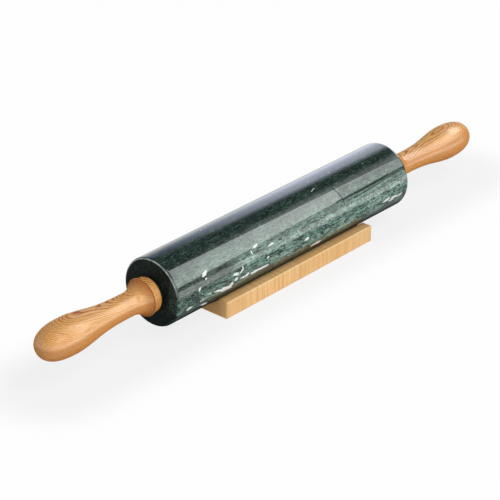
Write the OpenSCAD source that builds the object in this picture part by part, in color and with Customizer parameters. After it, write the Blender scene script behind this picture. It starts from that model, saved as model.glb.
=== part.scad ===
// Marble rolling pin resting in its wooden cradle.
// +X runs along the barrel and +Z is up. The origin is on the floor, under the barrel's middle.

/* [Barrel] */
// Length of the marble barrel
barrel_l = 254; // [180:1:340]
// Diameter of the marble barrel
barrel_d = 50.8; // [44:0.2:70]
// Rounding of the barrel's two rims
barrel_edge = 1.6; // [0.4:0.1:4]
// Diameter of the bore drilled through the marble
bore_d = 14; // [12:0.1:18]

/* [Bearings] */
// Length of a bearing inside the bore
bearing_l = 22; // [10:1:60]
// Diameter of a bearing's flange
bearing_flange_d = 22; // [19:0.2:30]
// Thickness of a bearing's flange
bearing_flange_t = 1.6; // [1:0.1:3]
// Radial running clearance between the axle and a bearing
bearing_clear = 0.06; // [0.03:0.01:0.09]

/* [Axle] */
// Diameter of the steel axle
axle_d = 8; // [5:0.1:9]
// How far the axle reaches into each handle
axle_in_handle = 32; // [26:1:60]
// Chamfer on the axle's ends
axle_chamfer = 0.8; // [0.2:0.1:1.5]

/* [Washers] */
// Diameter of a thrust washer
washer_d = 20; // [14:0.2:24]
// Thickness of a thrust washer
washer_t = 1.2; // [0.6:0.1:2.5]
// Radial clearance of a washer on the axle
washer_clear = 0.2; // [0.1:0.05:0.5]
// End play between a washer and a bearing's flange
end_play = 0.3; // [0.3:0.05:0.6]

/* [Handles] */
// Length of a handle from its back face to its tip
handle_l = 102; // [88:1:140]
// Diameter of the collar at a handle's back
collar_d = 25.8; // [24:0.2:27]
// Length of the collar
collar_l = 5.3; // [3:0.1:8]
// Rounding of the collar's back edge
collar_edge = 0.5; // [0.1:0.1:1.5]
// Diameter over the rounded lip
lip_d = 28; // [27:0.2:36]
// Thickness of the rounded lip
lip_t = 2; // [1:0.1:4]
// Diameter of the neck, where a handle is thinnest
neck_d = 17.2; // [15:0.2:22]
// Distance of the neck from the back face
neck_at = 18.9; // [13:0.1:30]
// Diameter of the bulb, where a handle is fullest
bulb_d = 26.9; // [23:0.1:34]
// Distance of the bulb's fullest place from the back face
bulb_at = 76.3; // [60:0.1:84]
// How quickly the flare curves away from the lip
flare_power = 1.9; // [1.2:0.1:3]
// How late the grip swells towards the bulb
swell_power = 1.58; // [1:0.02:2.2]
// How blunt the tip is, 2 being an ellipse
tip_power = 2.62; // [2:0.02:3.6]

/* [Inserts] */
// Diameter of the threaded brass insert in a handle
insert_d = 11; // [10:0.1:13]
// Length of the insert
insert_l = 24; // [12:1:25]
// Radial room round the axle beyond the insert
blind_clear = 0.6; // [0.3:0.1:1]
// Depth of the handle's hole beyond the axle's end
blind_spare = 3; // [1:0.5:6]

/* [Cradle] */
// Length of the cradle
cradle_l = 161.6; // [100:0.2:200]
// Width of the cradle
cradle_w = 52; // [46:0.5:90]
// Height of the cradle
cradle_h = 12.8; // [9:0.2:18]
// Thickness of the wood under the groove
groove_floor = 5.8; // [3:0.1:8]
// Gap between the groove and the barrel lying in it
groove_clear = 0.3; // [0.3:0.05:0.8]
// Rounding of the cradle's outer edges
cradle_edge = 0.8; // [0.2:0.1:2]
// How far the cradle stands off the barrel's middle, towards +X
cradle_shift = 1.6; // [-15:0.1:15]

/* [Hidden] */

left = -1;
right = 1;
round_fn = 96;
curve_steps = 18;
edge_steps = 6;
cut = 1;

barrel_r = barrel_d / 2;
groove_r = barrel_r + groove_clear;
axis_z = groove_floor + groove_r;

washer_back = bearing_flange_t + end_play;
handle_back = washer_back + washer_t;
axle_l = barrel_l + 2 * (handle_back + axle_in_handle);

collar_r = collar_d / 2;
lip_r = lip_d / 2;
lip_round = lip_t / 2;
neck_r = neck_d / 2;
bulb_r = bulb_d / 2;
flare_at = collar_l + lip_t;
flare_r = lip_r - lip_round;

// Points of an arc, from angle a0 to angle a1, as [radius, distance along the axis].
function arc(r0, z0, radius, a0, a1, steps) =
    [for (i = [0:steps]) let (a = a0 + (a1 - a0) * i / steps)
        [r0 + radius * cos(a), z0 + radius * sin(a)]];

// The flare runs down in a hollow curve from the lip to the neck.
function flare_points() =
    [for (i = [1:curve_steps]) let (t = i / curve_steps)
        [neck_r + (flare_r - neck_r) * pow(1 - t, flare_power),
         flare_at + (neck_at - flare_at) * t]];

// The grip swells from the neck to the bulb in a drawn-out half wave.
function swell_points() =
    [for (i = [1:curve_steps]) let (t = i / curve_steps)
        [neck_r + (bulb_r - neck_r) * (1 - cos(180 * pow(t, swell_power))) / 2,
         neck_at + (bulb_at - neck_at) * t]];

// The tip closes in a blunt quarter ellipse.
function tip_points() =
    [for (i = [1:curve_steps]) let (u = sin(90 * i / curve_steps))
        [bulb_r * pow(max(0, 1 - pow(u, tip_power)), 1 / tip_power),
         bulb_at + (handle_l - bulb_at) * u]];

handle_outline = concat(
    [[0, 0]],
    arc(collar_r - collar_edge, collar_edge, collar_edge, -90, 0, edge_steps),
    [[collar_r, collar_l]],
    arc(flare_r, collar_l + lip_round, lip_round, -90, 90, 2 * edge_steps),
    flare_points(),
    swell_points(),
    tip_points());

// Puts a piece on the barrel's end face, with its own +Z pointing away from the barrel.
module at_end(side) {
    translate([side * barrel_l / 2, 0, axis_z])
        rotate([0, side * 90, 0])
            children();
}

// A rectangle with rounded corners, centred on the first axis and standing on the second.
module rounded_plate(width, height, corner) {
    translate([-width / 2 + corner, 0]) square([width - 2 * corner, height]);
    translate([-width / 2, corner]) square([width, height - 2 * corner]);
    for (x = [-1, 1], y = [corner, height - corner])
        translate([x * (width / 2 - corner), y]) circle(r = corner, $fn = round_fn);
}

// Section of the cradle across its length: a flat block with a groove that fits the barrel.
module cradle_section() {
    difference() {
        rounded_plate(cradle_w, cradle_h, cradle_edge);
        translate([0, axis_z]) circle(r = groove_r, $fn = 2 * round_fn);
    }
}

module cradle() {
    color("burlywood")
        intersection() {
            translate([cradle_shift - cradle_l / 2, 0, 0])
                rotate([90, 0, 90]) linear_extrude(cradle_l) cradle_section();
            translate([cradle_shift, -cradle_w / 2, -cut])
                linear_extrude(cradle_h + 2 * cut) rounded_plate(cradle_l, cradle_w, cradle_edge);
        }
}

// Half-section of the barrel: a straight wall with a rounded rim at each end.
module barrel_section() {
    flat_r = barrel_r - barrel_edge;
    polygon(concat(
        [[bore_d / 2, 0]],
        arc(flat_r, barrel_edge, barrel_edge, -90, 0, edge_steps),
        arc(flat_r, barrel_l - barrel_edge, barrel_edge, 0, 90, edge_steps),
        [[bore_d / 2, barrel_l]]));
}

module marble_barrel() {
    color("darkslategray")
        at_end(left) rotate([180, 0, 0]) rotate_extrude($fn = 2 * round_fn) barrel_section();
}

module bearing(side) {
    color("dimgray")
        at_end(side)
            difference() {
                union() {
                    translate([0, 0, -bearing_l]) cylinder(d = bore_d, h = bearing_l, $fn = round_fn);
                    cylinder(d = bearing_flange_d, h = bearing_flange_t, $fn = round_fn);
                }
                translate([0, 0, -bearing_l - cut])
                    cylinder(r = axle_d / 2 + bearing_clear,
                             h = bearing_l + bearing_flange_t + 2 * cut, $fn = round_fn);
            }
}

module axle_rod() {
    axle_r = axle_d / 2;
    color("silver")
        translate([-axle_l / 2, 0, axis_z]) rotate([0, 90, 0])
            rotate_extrude($fn = round_fn)
                polygon([[0, 0], [axle_r - axle_chamfer, 0], [axle_r, axle_chamfer],
                         [axle_r, axle_l - axle_chamfer], [axle_r - axle_chamfer, axle_l],
                         [0, axle_l]]);
}

module washer(side) {
    color("lightgray")
        at_end(side)
            translate([0, 0, washer_back])
                difference() {
                    cylinder(d = washer_d, h = washer_t, $fn = round_fn);
                    translate([0, 0, -cut])
                        cylinder(r = axle_d / 2 + washer_clear, h = washer_t + 2 * cut, $fn = round_fn);
                }
}

module insert(side) {
    color("goldenrod")
        at_end(side)
            translate([0, 0, handle_back])
                difference() {
                    cylinder(d = insert_d, h = insert_l, $fn = round_fn);
                    translate([0, 0, -cut]) cylinder(d = axle_d, h = insert_l + 2 * cut, $fn = round_fn);
                }
}

module handle(side) {
    color("sandybrown")
        at_end(side)
            translate([0, 0, handle_back])
                difference() {
                    rotate_extrude($fn = round_fn) polygon(handle_outline);
                    translate([0, 0, -cut]) cylinder(d = insert_d, h = insert_l + cut, $fn = round_fn);
                    cylinder(r = axle_d / 2 + blind_clear, h = axle_in_handle + blind_spare, $fn = round_fn);
                }
}

cradle();
marble_barrel();
bearing(left);  // left_bearing
bearing(right);  // right_bearing
axle_rod();
washer(left);  // left_washer
washer(right);  // right_washer
insert(left);  // left_insert
insert(right);  // right_insert
handle(left);  // left_handle
handle(right);  // right_handle
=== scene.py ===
import math

import bmesh
import bpy
import numpy as np
from mathutils import Euler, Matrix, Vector


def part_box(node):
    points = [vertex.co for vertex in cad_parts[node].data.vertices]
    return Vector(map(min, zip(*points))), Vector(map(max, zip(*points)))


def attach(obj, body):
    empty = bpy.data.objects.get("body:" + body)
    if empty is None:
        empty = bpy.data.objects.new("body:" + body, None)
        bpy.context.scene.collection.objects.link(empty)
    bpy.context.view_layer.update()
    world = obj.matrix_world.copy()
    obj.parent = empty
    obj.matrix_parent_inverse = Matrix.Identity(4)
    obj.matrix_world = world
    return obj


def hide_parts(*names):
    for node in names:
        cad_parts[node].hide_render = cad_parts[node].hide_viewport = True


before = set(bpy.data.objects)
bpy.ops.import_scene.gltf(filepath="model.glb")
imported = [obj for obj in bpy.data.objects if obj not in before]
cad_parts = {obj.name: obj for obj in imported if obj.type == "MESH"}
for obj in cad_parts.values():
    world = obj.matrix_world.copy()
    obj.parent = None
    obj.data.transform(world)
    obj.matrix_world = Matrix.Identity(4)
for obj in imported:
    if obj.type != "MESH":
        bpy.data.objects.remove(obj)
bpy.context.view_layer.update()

# Cradle
# A flat hardwood block on which the pin lies when it is put away. The growth rings stand
# upright across it, so fine lines cross its top and front. The long groove is cut to the
# barrel's curve, the other edges are eased and the block is lacquered. A painted highlight
# runs along the front's top edge.

mm = 0.001
low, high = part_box("cradle")
barrel_low, barrel_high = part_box("marble_barrel")
axis_z = (barrel_low.z + barrel_high.z) / 2
barrel_r = (barrel_high.z - barrel_low.z) / 2
groove_clear = 0.3 * mm
groove_r = barrel_r + groove_clear
groove_steps = 32
cradle_edge = 0.8 * mm

# Points closer than the weld become one. Corners that turn by more than the angle stay sharp.
weld = 0.002 * mm
sharp_corner = math.radians(35)


class Wire:
    """A node's output that takes part in Python sums. Each operator adds its Math node."""

    def __init__(self, tree, socket=None):
        self.tree = tree
        self.socket = socket

    def make(self, kind, inputs=None, outlet=0, **settings):
        """Adds a node: its settings first, then the values or wires of its sockets."""
        node = self.tree.nodes.new(kind)
        for name, value in settings.items():
            setattr(node, name, value)
        for key, value in (inputs or {}).items():
            if isinstance(value, Wire):
                self.tree.links.new(value.socket, node.inputs[key])
            else:
                node.inputs[key].default_value = value
        return Wire(self.tree, node.outputs[outlet] if node.outputs else None)

    def other(self, outlet):
        """Another outlet of this wire's node."""
        return Wire(self.tree, self.socket.node.outputs[outlet])

    def maths(self, operation, *others):
        """A Math node's result, with this wire first and then whatever else it takes."""
        values = dict(enumerate([self, *others]))
        return self.make("ShaderNodeMath", values, operation=operation)

    def __add__(self, other):
        return self.maths("ADD", other)

    __radd__ = __add__

    def __sub__(self, other):
        return self.maths("SUBTRACT", other)

    def __rsub__(self, other):
        return self.make("ShaderNodeMath", {0: other, 1: self}, operation="SUBTRACT")

    def __mul__(self, other):
        return self.maths("MULTIPLY", other)

    __rmul__ = __mul__

    def __pow__(self, other):
        return self.maths("POWER", other)

    def __abs__(self):
        return self.maths("ABSOLUTE")

    def between(self, low, high):
        """The colour low where this is 0, high where it is 1."""
        inputs = {0: self, 6: low, 7: high}
        return self.make("ShaderNodeMix", inputs, 2, data_type="RGBA")

    def ease(self, start, end):
        """0 up to start, 1 from end on, and a smooth step between them."""
        inputs = {0: self, 1: start, 2: end}
        return self.make("ShaderNodeMapRange", inputs, interpolation_type="SMOOTHSTEP")

    def parts(self):
        """The three numbers of a vector."""
        apart = self.make("ShaderNodeSeparateXYZ", {0: self})
        return [apart.other(i) for i in range(3)]

    def at(self, x, y, z):
        """The vector of three numbers."""
        return self.make("ShaderNodeCombineXYZ", {0: x, 1: y, 2: z})

    def noise(self, place, scale, detail=2.0, roughness=0.5, warp=0.0):
        """Soft random patches, mostly between 0.25 and 0.75."""
        inputs = {"Vector": place, "Scale": scale, "Detail": detail,
                  "Roughness": roughness, "Distortion": warp}
        return self.make("ShaderNodeTexNoise", inputs)


def seen(red, green, blue):
    """A colour as a screen shows it, from 0 to 255, as the linear colour that nodes take."""
    steps = [c / 255 for c in (red, green, blue)]
    return [c / 12.92 if c < 0.04045 else ((c + 0.055) / 1.055) ** 2.4 for c in steps] + [1]


def new_finish(name):
    """A material with an empty tree, a wire to build it from and its place in millimetres."""
    material = bpy.data.materials.new(name)
    material.use_nodes = True
    material.node_tree.nodes.clear()
    start = Wire(material.node_tree)
    place = start.make("ShaderNodeTexCoord", outlet="Object")
    place = start.make("ShaderNodeVectorMath", {0: place, "Scale": 1 / mm}, operation="SCALE")
    return material, start, place


def close_finish(start, colour, roughness, height=None, depth=0.0, **shader):
    """Joins colour, roughness and relief to the shader, and sets its other inputs."""
    inputs = {"Base Color": colour, "Roughness": roughness}
    inputs.update({name.replace("_", " "): value for name, value in shader.items()})
    if height:
        inputs["Normal"] = start.make("ShaderNodeBump", {"Height": height, "Distance": depth,
                                                         "Strength": 1.0})
    surface = start.make("ShaderNodeBsdfPrincipled", inputs)
    start.make("ShaderNodeOutputMaterial", {"Surface": surface})


def upright_grain(name):
    """Planed hardwood whose growth rings stand across the block, so lines cross its faces."""
    material, start, place = new_finish(name)
    x, y, z = place.parts()
    sway = start.noise(start.at(x * 0.3, y * 0.06, z * 0.08), 0.25, 2)
    across = x + sway * 5 + y * 0.05
    rings = start.noise(start.at(across, y * 0.01, z * 0.015), 0.5, 3, 0.65)
    fibres = start.noise(start.at(across, y * 0.03, z * 0.03), 1.6, 4, 0.75)
    patches = start.noise(place, 0.03, 2)
    lines = rings.ease(0.42, 0.66) * 0.5 + fibres.ease(0.45, 0.75) * 0.42
    wood = lines.between(seen(253, 207, 145), seen(210, 149, 88))
    wood = (patches.ease(0.4, 0.7) * 0.5).between(wood, seen(232, 178, 112))
    front = -low.y / mm
    top = high.z / mm
    # Painted highlight: the front's top edge is paler, where light would catch the eased edge.
    edge_highlight = (0 - y).ease(front - 0.8, front - 0.2) * z.ease(top - 0.7, top - 0.2)
    wood = (edge_highlight * 0.8).between(wood, seen(255, 226, 176))
    rough = 0.42 - fibres * 0.08
    close_finish(start, wood, rough, fibres, 0.02 * mm, Specular_Tint=(1.0, 0.92, 0.78, 1))
    return material


def settle(piece, name):
    """Links a piece and makes what its modifiers give its plain mesh, doubles merged."""
    bpy.context.scene.collection.objects.link(piece)
    depsgraph = bpy.context.evaluated_depsgraph_get()
    plain = bpy.data.meshes.new_from_object(piece.evaluated_get(depsgraph))
    plain.name = name
    piece.modifiers.clear()
    piece.data = plain
    tidy = bmesh.new()
    tidy.from_mesh(plain)
    bmesh.ops.remove_doubles(tidy, verts=tidy.verts, dist=weld)
    bmesh.ops.recalc_face_normals(tidy, faces=tidy.faces)
    tidy.to_mesh(plain)
    tidy.free()
    plain.shade_smooth()
    plain.set_sharp_from_angle(angle=sharp_corner)


def cradle_outline():
    """The block's end as seen along its length, round from one land over the groove."""
    lip = math.acos((axis_z - high.z) / groove_r)
    turns = np.linspace(lip, -lip, groove_steps + 1)
    groove = [(groove_r * math.sin(a), axis_z - groove_r * math.cos(a)) for a in turns]
    return [(low.y, 0), (high.y, 0), (high.y, high.z), *groove, (low.y, high.z)]


block = bmesh.new()
end = [block.verts.new((low.x, y, z)) for y, z in cradle_outline()]
end = block.faces.new(end)
grown = bmesh.ops.extrude_face_region(block, geom=[end])["geom"]
far = [item for item in grown if isinstance(item, bmesh.types.BMVert)]
bmesh.ops.translate(block, verts=far, vec=(high.x - low.x, 0, 0))
cradle_mesh = bpy.data.meshes.new("cradle_block")
block.to_mesh(cradle_mesh)
block.free()
cradle = bpy.data.objects.new("cradle_block", cradle_mesh)
bevel = cradle.modifiers.new("eased edges", "BEVEL")
bevel.width = cradle_edge
bevel.segments = 3
bevel.limit_method = "ANGLE"
bevel.angle_limit = math.radians(50)
settle(cradle, "cradle_block")
cradle.data.materials.append(upright_grain("cradle wood"))
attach(cradle, "cradle")
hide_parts("cradle")

# Marble barrel
# One solid cylinder of dark green marble, turned, bored and polished, with its rims rounded
# and its flat ends only honed and painted darker as shade. The upper rims carry a painted
# highlight. The polish is dull underneath. The stone is mottled, painted paler towards the
# front as light, kept dark underneath as painted shade, and has white calcite flecks and a
# few fine cracks.

rim = 1.6 * mm
bore_r = 7 * mm
rim_steps = 8
wall_points = 400
facets = 224

# In mm: where the long crack lies along the barrel, and how far over the axis the vein runs.
crack_at = 52
vein_over = 12.9

# Each fleck: its two ends, as places along the barrel in mm and round it in degrees from the
# top, and its width in mm.
flecks = [
    (-95.5, 61, -101.1, 68, 2.4), (-97.2, 72, -99.2, 73, 1.0), (-105.0, 81, -106.5, 87, 1.7),
    (-71.4, 89, -65.5, 92, 2.3), (-62.0, 83, -60.9, 88, 1.0), (-60.8, 87, -64.3, 92, 1.5),
    (-64.0, 102, -56.7, 105, 1.5), (-58.5, 105, -54.6, 101, 2.6), (-52.2, 105, -42.1, 105, 2.4),
    (-43.7, 105, -34.0, 105, 2.2), (-70.0, 102, -66.8, 99, 2.3), (-70.6, 104, -74.9, 108, 3.0),
    (-72.3, 111, -85.0, 106, 3.6), (-81.9, 106, -90.3, 103, 1.6), (-43.1, 61, -48.3, 64, 1.6),
    (-51.0, 66, -50.0, 72, 1.1), (-33.9, 72, -26.8, 71, 1.1), (-33.8, 89, -36.1, 92, 1.8),
    (-101.1, 119, -95.4, 122, 1.9), (-117.3, 111, -112.1, 110, 2.3),
    (-129.6, 92, -128.2, 91, 1.3), (-104.5, 107, -99.6, 106, 1.1), (10.0, 93, 5.3, 95, 2.2),
    (16.4, 117, 26.9, 116, 2.4), (96.8, 102, 105.2, 99, 2.0), (103.9, 105, 110.3, 106, 1.2),
    (107.0, 101, 114.1, 103, 1.8), (115.0, 105, 120.2, 103, 1.6), (36.3, 19, 29.6, 25, 0.6),
    (-97.7, 102, -93.7, 101, 0.9),
]

# Each crack: its two ends, as places along the barrel in mm and round it in degrees.
cracks = [
    (48.2, 34, 49.3, 40), (49.3, 40, 50.9, 51), (50.9, 51, 52.2, 59), (52.2, 59, 52.6, 71),
    (44.9, 60, 52.2, 59), (52.2, 60.5, 80.0, 60), (80.0, 60, 106.0, 58), (64.0, 67, 96.0, 64),
]


def barrel_outline():
    """Radius and place along the axis, from the left end's bore to the right end's."""
    turns = np.linspace(0, math.pi / 2, rim_steps + 1)
    left_rim = [(barrel_r - rim + rim * math.sin(a), barrel_low.x + rim - rim * math.cos(a))
                for a in turns]
    straight = np.linspace(barrel_low.x + rim, barrel_high.x - rim, wall_points)
    wall = [(barrel_r, x) for x in straight]
    right_rim = [(r, -x) for r, x in reversed(left_rim)]
    return [(bore_r, barrel_low.x), *left_rim[:-1], *wall, *right_rim[1:],
            (bore_r, barrel_high.x)]


def turned(name, outline):
    """A closed mesh of the outline turned round the pin's axis."""
    radius, place = np.array(outline).T
    angle = np.arange(facets) * 2 * math.pi / facets
    points = np.empty((len(outline), facets, 3))
    points[:, :, 0] = place[:, None]
    points[:, :, 1] = -radius[:, None] * np.sin(angle)
    points[:, :, 2] = axis_z + radius[:, None] * np.cos(angle)
    number = np.arange(points.size // 3).reshape(points.shape[:2])
    ahead = np.roll(number, -1, axis=0)
    faces = np.stack([number, np.roll(number, -1, axis=1), np.roll(ahead, -1, axis=1), ahead], 2)
    mesh = bpy.data.meshes.new(name)
    mesh.from_pydata(points.reshape(-1, 3).tolist(), [], faces.reshape(-1, 4).tolist())
    return bpy.data.objects.new(name, mesh)


def unrolled(mesh):
    """Each point's place along the barrel, and round it from the top, both in metres."""
    points = np.empty(len(mesh.vertices) * 3)
    mesh.vertices.foreach_get("co", points)
    x, y, z = points.reshape(-1, 3).T
    return x, np.arctan2(-y, z - axis_z) * barrel_r


def fleck_heights(along, across):
    """How deep inside a fleck each point lies: 1 at its middle, 0 at its edge, less outside."""
    heights = np.full(len(along), -1.0)
    for x0, turn0, x1, turn1, width in flecks:
        middle = (x0 + x1) / 2 * mm, math.radians(turn0 + turn1) / 2 * barrel_r
        du, dv = (x1 - x0) / 2 * mm, math.radians(turn1 - turn0) / 2 * barrel_r
        reach = math.hypot(du, dv)
        u, v = along - middle[0], across - middle[1]
        p = (u * du + v * dv) / reach ** 2
        q = (v * du - u * dv) / (reach * width / 2 * mm)
        heights = np.maximum(heights, 1 - np.hypot(p, q))
    return heights


def crack_heights(along, across):
    """How near each point lies to a crack: 1 on it, 0 a millimetre off, less further out."""
    nearest = np.full(len(along), 2 * mm)
    for x0, turn0, x1, turn1 in cracks:
        u0, v0 = x0 * mm, math.radians(turn0) * barrel_r
        du, dv = (x1 - x0) * mm, math.radians(turn1 - turn0) * barrel_r
        t = np.clip(((along - u0) * du + (across - v0) * dv) / (du * du + dv * dv), 0, 1)
        nearest = np.minimum(nearest, np.hypot(along - u0 - t * du, across - v0 - t * dv))
    return 1 - nearest / mm


def marble_grain(start, place):
    """Places drawn out along the stone's leaves, its fine grains, and its tone, dark to pale."""
    x, y, z = place.parts()
    drawn = start.at(x * 0.28 + z * 0.15, y, z)
    leaves = start.noise(drawn, 0.75, 4, 0.65, 1.2)
    mottle = start.noise(place, 0.15, 3, 0.6, 1.0)
    grains = start.noise(place, 1.1, 2, 0.6)
    return drawn, grains, leaves * 0.68 + mottle * 0.20 + grains * 0.12


def green_stone(start, place, tone, over, smoky, vein):
    """The stone without its white: dark behind, smoky or veined, streaked and painted pale in
    front as light, and dark underneath as painted shade.
    """
    x, y, z = place.parts()
    clouds = start.noise(place, 0.028, 3, 0.55, 0.6)
    stone = tone.ease(0.44, 0.64).between(seen(12, 24, 19), seen(72, 94, 85))
    stone = clouds.ease(0.5, 0.75).between(stone, seen(34, 43, 40))
    streaks = start.noise(start.at(x * 0.05, y * 0.3, z * 0.3), 0.8, 3, 0.6, 0.8)
    light = streaks.ease(0.38, 0.66).between(seen(95, 137, 119), seen(149, 182, 166))
    light = over.ease(5, 14).between(light, seen(122, 146, 135))
    dark = over.ease(5, 14).between(seen(3, 25, 19), seen(62, 84, 76))
    pale = (tone + (streaks - 0.5) * 0.12).ease(0.44, 0.545).between(dark, light)
    # Painted light: the pale stone covers the front and stops short of the underside, where the
    # dark stone stays as painted shade.
    clear_of_under_shade = (over + (clouds - 0.5) * 8).ease(-13, -7)
    painted_front_light = (0 - y + (clouds - 0.5) * 22).ease(12, 25) * clear_of_under_shade
    stone = painted_front_light.between(stone, pale)
    smoke = tone.ease(0.42, 0.6).between(seen(24, 32, 28), seen(84, 90, 82))
    stone = (smoky * painted_front_light).between(stone, smoke)
    return (vein * 0.6).between(stone, seen(26, 42, 36))


def calcite(start, place, drawn):
    """Where the stone is white: small specks here and there, and the flecks, ragged."""
    reach = start.make("ShaderNodeTexVoronoi", {"Vector": place, "Scale": 0.13}, "Distance")
    chance = reach.other("Color").parts()[0]
    specks = (1 - reach.ease(0.03, 0.09)) * chance.ease(0.55, 0.60)
    depth = start.make("ShaderNodeAttribute", outlet="Fac", attribute_name="fleck")
    ragged = (depth + (start.noise(drawn, 0.9, 4, 0.75, 1.0) - 0.5) * 2.2).ease(-0.2, 0.05)
    return ragged.maths("MAXIMUM", specks * 0.7)


def polish_kept(x, over, past_wall, cracked, smoky, vein):
    """How much polish each spot has: little underneath, on the lower rims and in cracks."""
    polish = (over.ease(-17.5, -8.5) * 0.88 + 0.12) * (1 - cracked)
    polish = polish * (1 - past_wall.ease(0.3, 1.0) * (1 - over.ease(2, 14)) * 0.8)
    hazy = x.ease(crack_at - 4, crack_at + 4) * over.ease(10, 12.5) * (1 - over.ease(17.5, 21))
    return polish * (1 - hazy * 0.35) * (1 - vein * 0.5) * (1 - smoky * 0.3)


def green_marble(name, polished):
    """Dark green serpentine marble, polished, or honed and painted darker as shade on the ends.
    """
    material, start, place = new_finish(name)
    x, y, z = place.parts()
    over = z - axis_z / mm
    smoky = (0 - x).ease(52, 84) * (0.25 + over.ease(0, 4) * 0.6) * (1 - over.ease(9, 13))
    vein = x.ease(crack_at - 2, crack_at + 20) * (1 - abs(over - vein_over).ease(0.5, 1.9))
    drawn, grains, tone = marble_grain(start, place)
    stone = green_stone(start, place, tone, over, smoky, vein)
    stone = calcite(start, place, drawn).between(stone, seen(244, 248, 244))
    crack = start.make("ShaderNodeAttribute", outlet="Fac", attribute_name="crack")
    cracked = (crack + (grains - 0.5) * 0.8).ease(0.4, 0.65) * 0.8
    stone = cracked.between(stone, seen(20, 30, 27))
    rough = 0.5 + grains * 0.1
    if polished:
        past_wall = abs(x) - (barrel_high.x - rim) / mm
        # Painted highlight along the upper rims, broken up in patches.
        highlight_breaks = start.noise(place, 0.25, 3, 0.7).ease(0.4, 0.6)
        rim_highlight = past_wall.ease(0.8, 1.2) * over.ease(1, 13) * (0.5 + highlight_breaks * 0.5)
        stone = rim_highlight.between(stone, seen(176, 190, 186))
        polish = polish_kept(x, over, past_wall, cracked, smoky, vein)
        close_finish(start, stone, rough, Specular_IOR_Level=0.0,
                     Coat_Weight=polish, Coat_Roughness=0.06, Coat_IOR=1.66)
    else:
        # Painted shade: the honed ends are darkened towards black.
        honed = start.make("ShaderNodeMix", {0: 0.55, 6: stone, 7: seen(5, 9, 8)}, 2,
                           data_type="RGBA")
        close_finish(start, honed, rough, Specular_IOR_Level=0.1)
    return material


barrel = turned("barrel_stone", barrel_outline())
settle(barrel, "barrel_stone")
spots = unrolled(barrel.data)
for name, heights in (("fleck", fleck_heights(*spots)), ("crack", crack_heights(*spots))):
    marks = barrel.data.attributes.new(name, "FLOAT", "POINT")
    marks.data.foreach_set("value", heights)
barrel.data.materials.append(green_marble("polished green marble", True))
barrel.data.materials.append(green_marble("honed green marble in painted shade", False))
for face in barrel.data.polygons:
    face.material_index = int(abs(face.normal.x) > 0.99)
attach(barrel, "barrel")
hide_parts("marble_barrel")

# Bearings
# Two flanged bushes of black nylon, moulded, pressed into the ends of the bore. Only the
# flanges show, in the gap between the marble and the handles.


def black_nylon(name):
    material, start, place = new_finish(name)
    x, y, z = place.parts()
    turn_marks = start.noise(start.at(x * 4, y * 0.3, z * 0.3), 1.0, 3)
    colour = turn_marks.between(seen(20, 20, 21), seen(34, 34, 35))
    close_finish(start, colour, 0.42 + turn_marks * 0.15, turn_marks, 0.01 * mm)
    return material


def dress(node_names, material):
    """Gives a material to the solids that are shown as they come from the frame."""
    for name in node_names:
        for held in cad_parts[name].material_slots:
            held.material = material


dress(["left_bearing", "right_bearing"], black_nylon("black nylon"))

# Axle and washers
# A ground steel rod that runs through both bearings into both handles, and a flat steel
# washer at each end that keeps a handle off its bearing. Fine turning marks run round them.


def ground_steel(name):
    material, start, place = new_finish(name)
    x, y, z = place.parts()
    marks = start.noise(start.at(x * 8, y * 0.2, z * 0.2), 1.0, 4, 0.7)
    colour = marks.between(seen(170, 171, 172), seen(205, 205, 204))
    close_finish(start, colour, 0.24 + marks * 0.14, marks, 0.005 * mm, Metallic=1.0)
    return material


dress(["axle_rod", "left_washer", "right_washer"], ground_steel("ground steel"))

# Inserts
# Turned brass sleeves with a thread inside, glued into the handles. The axle's ends screw
# into them, so nothing of them shows from outside.


def turned_brass(name):
    material, start, place = new_finish(name)
    x, y, z = place.parts()
    marks = start.noise(start.at(x * 5, y * 0.3, z * 0.3), 1.0, 3, 0.6)
    colour = marks.between(seen(205, 168, 92), seen(226, 194, 120))
    close_finish(start, colour, 0.26 + marks * 0.12, marks, 0.008 * mm, Metallic=1.0)
    return material


dress(["left_insert", "right_insert"], turned_brass("turned brass"))

# Handles
# Each is turned from one length of hardwood: a collar and a rounded lip at the barrel, a
# hollow flare to the neck, and a long swell into a blunt bulb. The grain runs a little askew,
# so the growth rings show as long arcs along the upper side. The lacquer is satin. The wood
# is painted paler on top and darker on its lower side, as light and shade.

handle_facets = 128
handle_low, handle_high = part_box("right_handle")
# A hair shorter than the solid, so that the tips stay inside its box.
handle_l = handle_high.x - handle_low.x - 0.001 * mm
lip_r = (handle_high.z - handle_low.z) / 2
lip_t = 2 * mm
collar_r = 12.9 * mm
collar_l = 5.3 * mm
collar_edge = 0.5 * mm
neck_r = 8.6 * mm
neck_at = 18.9 * mm
bulb_r = 13.45 * mm
bulb_at = 76.3 * mm
flare_power = 1.9
swell_power = 1.58
tip_power = 2.62
insert_r = 5.5 * mm
insert_l = 24 * mm
hole_r = 4.6 * mm
hole_l = 35 * mm


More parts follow.
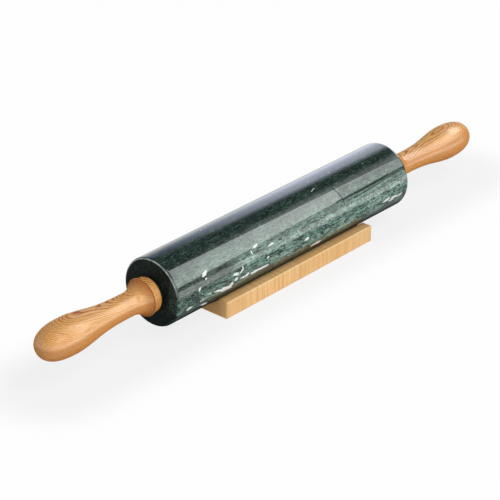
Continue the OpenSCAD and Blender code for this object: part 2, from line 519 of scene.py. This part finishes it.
def handle_tree():
    """Geometry nodes that turn a handle round the pin's axis from its outline's formulas."""
    tree = bpy.data.node_groups.new("turned handle", "GeometryNodeTree")
    sizes = {"Way": 1.0, "Back face": handle_low.x, "Axis height": axis_z,
             "Length": handle_l, "Lip radius": lip_r, "Neck radius": neck_r,
             "Neck place": neck_at, "Bulb radius": bulb_r, "Bulb place": bulb_at}
    tree.interface.new_socket("Geometry", in_out="OUTPUT", socket_type="NodeSocketGeometry")
    for name, value in sizes.items():
        socket = tree.interface.new_socket(name, in_out="INPUT", socket_type="NodeSocketFloat")
        socket.default_value = value
    tree.interface.new_socket("Wood", in_out="INPUT", socket_type="NodeSocketMaterial")
    start = Wire(tree)
    given = start.make("NodeGroupInput")
    size = {name: given.other(name) for name in [*sizes, "Wood"]}
    u, v, _ = start.make("GeometryNodeInputPosition").parts()
    turn = (u + 0.5) * (2 * math.pi)
    t = v + 0.5
    bands = []

    def band(steps, radius, place):
        """One stretch of the outline: radius and place from the back face, as t runs 0 to 1."""
        grid = start.make("GeometryNodeMeshGrid", {"Size X": 1.0, "Size Y": 1.0,
                                                   "Vertices X": handle_facets + 1,
                                                   "Vertices Y": steps + 1})
        spot = start.at((size["Back face"] + place) * size["Way"],
                        radius * turn.maths("SINE"),
                        size["Axis height"] + radius * turn.maths("COSINE"))
        bands.append(start.make("GeometryNodeSetPosition", {"Geometry": grid, "Position": spot}))

    def line(r0, s0, r1, s1, steps=1):
        band(steps, t * (r1 - r0) + r0, t * (s1 - s0) + s0)

    lip_round = lip_t / 2
    flare_at = collar_l + lip_t
    flare_r = size["Lip radius"] - lip_round
    line(0, hole_l, hole_r, hole_l)
    line(hole_r, hole_l, hole_r, insert_l, steps=8)
    line(hole_r, insert_l, insert_r, insert_l)
    line(insert_r, insert_l, insert_r, 0, steps=16)
    line(insert_r, 0, collar_r - collar_edge, 0, steps=4)
    bend = t * (math.pi / 2)
    band(4, bend.maths("SINE") * collar_edge + (collar_r - collar_edge),
         collar_edge - bend.maths("COSINE") * collar_edge)
    line(collar_r, collar_edge, collar_r, collar_l, steps=4)
    line(collar_r, collar_l, flare_r, collar_l)
    bend = t * math.pi
    band(16, flare_r + bend.maths("SINE") * lip_round,
         collar_l + lip_round - bend.maths("COSINE") * lip_round)
    band(24, size["Neck radius"] + (flare_r - size["Neck radius"]) * (1 - t) ** flare_power,
         flare_at + (size["Neck place"] - flare_at) * t)
    wave = t ** swell_power * math.pi
    swell = (1 - wave.maths("COSINE")) * 0.5
    band(48, size["Neck radius"] + (size["Bulb radius"] - size["Neck radius"]) * swell,
         size["Neck place"] + (size["Bulb place"] - size["Neck place"]) * t)
    reach = (t * (math.pi / 2)).maths("SINE")
    blunt = (1 - reach ** tip_power).maths("MAXIMUM", 0.0) ** (1 / tip_power)
    band(32, size["Bulb radius"] * blunt,
         size["Bulb place"] + (size["Length"] - size["Bulb place"]) * reach)

    joined = tree.nodes.new("GeometryNodeJoinGeometry")
    for piece in reversed(bands):
        tree.links.new(piece.socket, joined.inputs[0])
    whole = start.make("GeometryNodeMergeByDistance", {"Geometry": Wire(tree, joined.outputs[0]),
                                                       "Distance": weld})
    whole = start.make("GeometryNodeRealizeInstances", {"Geometry": whole})
    whole = start.make("GeometryNodeSetMaterial", {"Geometry": whole, "Material": size["Wood"]})
    start.make("NodeGroupOutput", {"Geometry": whole})
    return tree


def growth_rings(start, length, side, height, seed):
    """How far out in its ring each spot lies, 0 to 1. The tree's heart is below the handle."""
    heart = 60
    bow = (height + heart) ** 2 + side * side
    ring = bow.maths("SQRT") - heart
    sway = start.noise(start.at(length * 0.014 + seed, side * 0.06, height * 0.06), 1.0, 3, 0.6)
    widths = start.noise(start.at(length * 0.002, side * 0.01, ring * 0.3 + seed), 1.0, 2)
    return (ring * 1.35 + sway * 4 + widths * 3.5).maths("FRACT")


def turned_wood(name, way, seed, skew, rise):
    """Hardwood with its grain skew degrees off the handle, painted paler from rise mm up as
    light and darker on its lower side as shade.
    """
    material, start, place = new_finish(name)
    x, y, z = place.parts()
    out = x * way
    up = z - axis_z / mm
    handle_middle = 180
    askew = math.radians(skew)
    lean = math.radians(3)
    tall = up * math.cos(lean) + y * math.sin(lean)
    side = y * math.cos(lean) - up * math.sin(lean)
    height = tall * math.cos(askew) - (out - handle_middle) * math.sin(askew)
    length = out * math.cos(askew) + tall * math.sin(askew)
    part = growth_rings(start, length, side, height, seed)
    late = part.ease(0.4, 0.8) * (1 - part.ease(0.86, 1.0))
    bold = start.noise(start.at(length * 0.012, side * 0.07 + seed, height * 0.07), 1.0, 3)
    fibres = start.noise(start.at(length * 0.14, side * 2.0, height * 2.0), 1.0, 3, 0.7)
    pores = start.noise(start.at(length * 0.35, side * 1.8, height * 1.8 + seed), 1.0, 2, 0.6)
    plain = tall.ease(rise - 7, rise + 6) * 0.55 + 0.45
    dark = late * (0.6 + bold.ease(0.38, 0.62) * 0.4) * plain + (fibres - 0.5) * 1.1
    # Painted light: the wood is paler from rise mm up.
    paler = tall.ease(rise, rise + 5)
    early_wood = paler.between(seen(226, 158, 86), seen(253, 191, 115))
    late_wood = paler.between(seen(176, 96, 36), seen(192, 98, 24))
    wood = dark.between(early_wood, late_wood)
    # Painted shade: the lower side of the handle is darker.
    wood = ((1 - tall.ease(-13, -2)) * 0.8).between(wood, seen(196, 128, 68))
    dashes = pores.ease(0.58, 0.70) * 0.45
    wood = dashes.between(wood, seen(170, 100, 46))
    facing = start.make("ShaderNodeNewGeometry", outlet="Normal").parts()[0]
    # The flare is darker: partly its end grain, partly painted shade.
    flare = abs(facing).ease(0.25, 0.7) * (1 - out.ease(146, 156))
    wood = (flare * 0.7).between(wood, seen(150, 76, 12))
    grazing = start.make("ShaderNodeLayerWeight", {"Blend": 0.5}, outlet="Facing")
    lacquer = (1 - grazing.ease(0.33, 0.55) * 0.85) * (1 - flare * 0.6)
    relief = fibres * 0.4 - dashes
    close_finish(start, wood, 0.5 + dashes * 0.2 - late * 0.05, relief, 0.03 * mm,
                 Specular_IOR_Level=0.0, Coat_Weight=lacquer, Coat_Roughness=0.27,
                 Coat_IOR=1.75)
    return material


tree = handle_tree()
sockets = {s.name: s.identifier for s in tree.interface.items_tree if s.in_out == "INPUT"}
for name, way, seed, skew, rise in (("left", -1.0, 3.0, 11, -1), ("right", 1.0, 11.0, 6, 4)):
    handle = bpy.data.objects.new(f"{name}_turned_handle", bpy.data.meshes.new("blank"))
    shape = handle.modifiers.new("turned", "NODES")
    shape.node_group = tree
    shape[sockets["Way"]] = way
    shape[sockets["Wood"]] = turned_wood(f"{name} handle wood", way, seed, skew, rise)
    settle(handle, f"{name}_turned_handle")
    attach(handle, "axle_and_handles")
    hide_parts(f"{name}_handle")

# Floor
# A plain white sheet that runs out of sight and keeps a faint shadow of the pin and cradle.
# It is white to the camera, and in the marble's polish where it is well away from the pin.

floor_half = 8.0
near_whiteness = 0.82
far_whiteness = 0.98
pin_half = 0.22
sheet = bmesh.new()
bmesh.ops.create_grid(sheet, x_segments=1, y_segments=1, size=floor_half)
floor_mesh = bpy.data.meshes.new("floor")
sheet.to_mesh(floor_mesh)
sheet.free()
floor = bpy.data.objects.new("floor", floor_mesh)
bpy.context.scene.collection.objects.link(floor)

material = bpy.data.materials.new("white floor")
material.use_nodes = True
material.node_tree.nodes.clear()
start = Wire(material.node_tree)
seen_direct = start.make("ShaderNodeLightPath", outlet="Is Camera Ray")
seen_in_gloss = seen_direct.other("Is Glossy Ray") + seen_direct.other("Is Transmission Ray")
paper = start.make("ShaderNodeBsdfDiffuse", {"Color": (0.70, 0.71, 0.73, 1)})
glow = start.make("ShaderNodeEmission", {"Color": (1, 1, 1, 1), "Strength": 1.0})
x, y, _ = start.make("ShaderNodeTexCoord", outlet="Object").parts()
beyond = (abs(x) - pin_half).maths("MAXIMUM", 0.0)
away = (beyond * beyond + y * y) ** 0.5
far = away.ease(0.025, 0.065)
lift = seen_direct * (near_whiteness + far * (far_whiteness - near_whiteness))
lift = lift + seen_in_gloss * far_whiteness * away.ease(0.075, 0.11)
surface = start.make("ShaderNodeMixShader", {0: lift, 1: paper, 2: glow})
start.make("ShaderNodeOutputMaterial", {"Surface": surface})
floor_mesh.materials.append(material)

# Studio
# A room that is pale behind, and dim in front and overhead. A long softbox, a light for each
# handle and two white cards show only in gloss. A key lamp and a low fill light all surfaces.

world = bpy.data.worlds.new("white room")
world.use_nodes = True
world.node_tree.nodes.clear()
start = Wire(world.node_tree)
east, north, up = start.make("ShaderNodeTexCoord", outlet="Generated").parts()

# The back wall is white low down, blue above and dark overhead, with a bright flat on the right.
back_wall = up.ease(0.08, 0.38).between((1.0, 1.0, 1.0, 1), (0.25, 0.37, 0.63, 1))
back_wall = up.ease(0.36, 0.56).between(back_wall, (0.10, 0.16, 0.15, 1))
flat = east.ease(0.63, 0.70) * (1 - up.ease(0.50, 0.68)) * north.ease(0.1, 0.35)

# The front is dim, with a bright gap on the right. The room's left side is plain grey.
gap = east.ease(0.645, 0.69) * (1 - east.ease(0.70, 0.78) * 0.6)
front = gap.between((0.22, 0.23, 0.22, 1), (1.3, 1.4, 1.35, 1))
shade = north.ease(-0.3, 0.0).between(front, back_wall)
shade = flat.between(shade, (1.9, 2.05, 2.45, 1))
left_side = up.ease(0.1, 0.8).between((0.75, 0.75, 0.75, 1), (0.18, 0.18, 0.18, 1))
shade = east.ease(0.35, 0.55).between(left_side, shade)
room = start.make("ShaderNodeBackground", {"Color": shade, "Strength": 1.0})
start.make("ShaderNodeOutputWorld", {"Surface": room})
bpy.context.scene.world = world


def lamp(name, place, turn, width, depth, brightness, diffuse=True, gloss=True):
    """A flat soft lamp of an even brightness, which the camera itself doesn't see."""
    light = bpy.data.lights.new(name, "AREA")
    light.shape = "RECTANGLE"
    light.size = width
    light.size_y = depth
    light.energy = brightness * math.pi * width * depth
    light.color = (1.0, 1.0, 1.0) if diffuse else (0.94, 1.0, 0.97)
    holder = bpy.data.objects.new(name, light)
    holder.location = place
    holder.rotation_euler = Euler([math.radians(a) for a in turn])
    holder.visible_camera = False
    holder.visible_diffuse = diffuse
    holder.visible_glossy = gloss
    bpy.context.scene.collection.objects.link(holder)


lamp("softbox", (1.0225, -0.746, 0.765), (52.1, -25.9, -21.5), 2.2, 0.894, 3.05, diffuse=False)
lamp("right handle light", (0.61, -0.04, 0.355), (0, 51, 0), 0.16, 0.28, 6.0, diffuse=False)
lamp("left handle light", (-0.15, -0.83, 0.60), (55, 0, 0), 0.40, 0.30, 2.8, diffuse=False)
lamp("front card", (0.30, -0.355, 0.002), (180, 0, 0), 1.4, 0.50, 1.8, diffuse=False)
lamp("back card", (1.05, 0.94, 0.002), (180, 0, 0), 1.4, 1.32, 0.75, diffuse=False)
lamp("key", (0.3, -1.3, 2.3), (29.5, 0, 13.0), 1.3, 1.3, 3.85, gloss=False)
lamp("low fill", (-0.5, -2.4, 0.36), (82.3, 0, -11.8), 2.8, 0.6, 4.25, gloss=False)

# Camera
# It stands where the photograph was taken from: in front of the pin, on the left, above it
# and about one and a half metres away, with a long lens.

azimuth = math.radians(-48.67)
elevation = math.radians(27.10)
distance = 1.47284
aim = Vector((-0.02537, 0, 0.02492))
back = Vector((math.sin(azimuth) * math.cos(elevation),
               -math.cos(azimuth) * math.cos(elevation),
               math.sin(elevation)))
lens = bpy.data.cameras.new("camera")
lens.sensor_width = 36
lens.lens = 148.33
camera = bpy.data.objects.new("camera", lens)
camera.location = aim + back * distance
camera.rotation_euler = (-back).to_track_quat("-Z", "Y").to_euler()
bpy.context.scene.collection.objects.link(camera)
bpy.context.scene.camera = camera
bpy.context.scene.view_settings.view_transform = "Standard"
